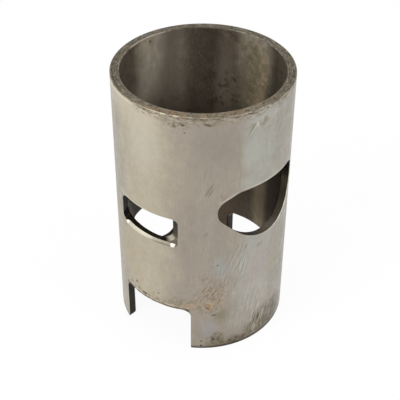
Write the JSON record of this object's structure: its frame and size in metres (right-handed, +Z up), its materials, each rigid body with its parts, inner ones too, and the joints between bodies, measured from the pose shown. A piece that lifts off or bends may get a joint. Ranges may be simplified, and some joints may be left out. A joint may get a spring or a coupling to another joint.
{
  "type": "cylinder liner",
  "caption": "Plain two-stroke cylinder liner: a turned cast-iron tube with an egg-shaped exhaust port, slanted transfer ports, an intake window and a notched skirt.",
  "frame": {"origin": "centre of the bottom face, on the bore's axis", "axes": "+Z up the bore, -Y out through the middle of the exhaust port, +Y out through the intake port"},
  "size_m": [0.08, 0.08, 0.131],
  "materials": {
    "cast_iron": "turned outside, honed bore, used and stained"
  },
  "bodies": {
    "root": {"cylinder_liner": "cast_iron"}
  },
  "joints": []
}
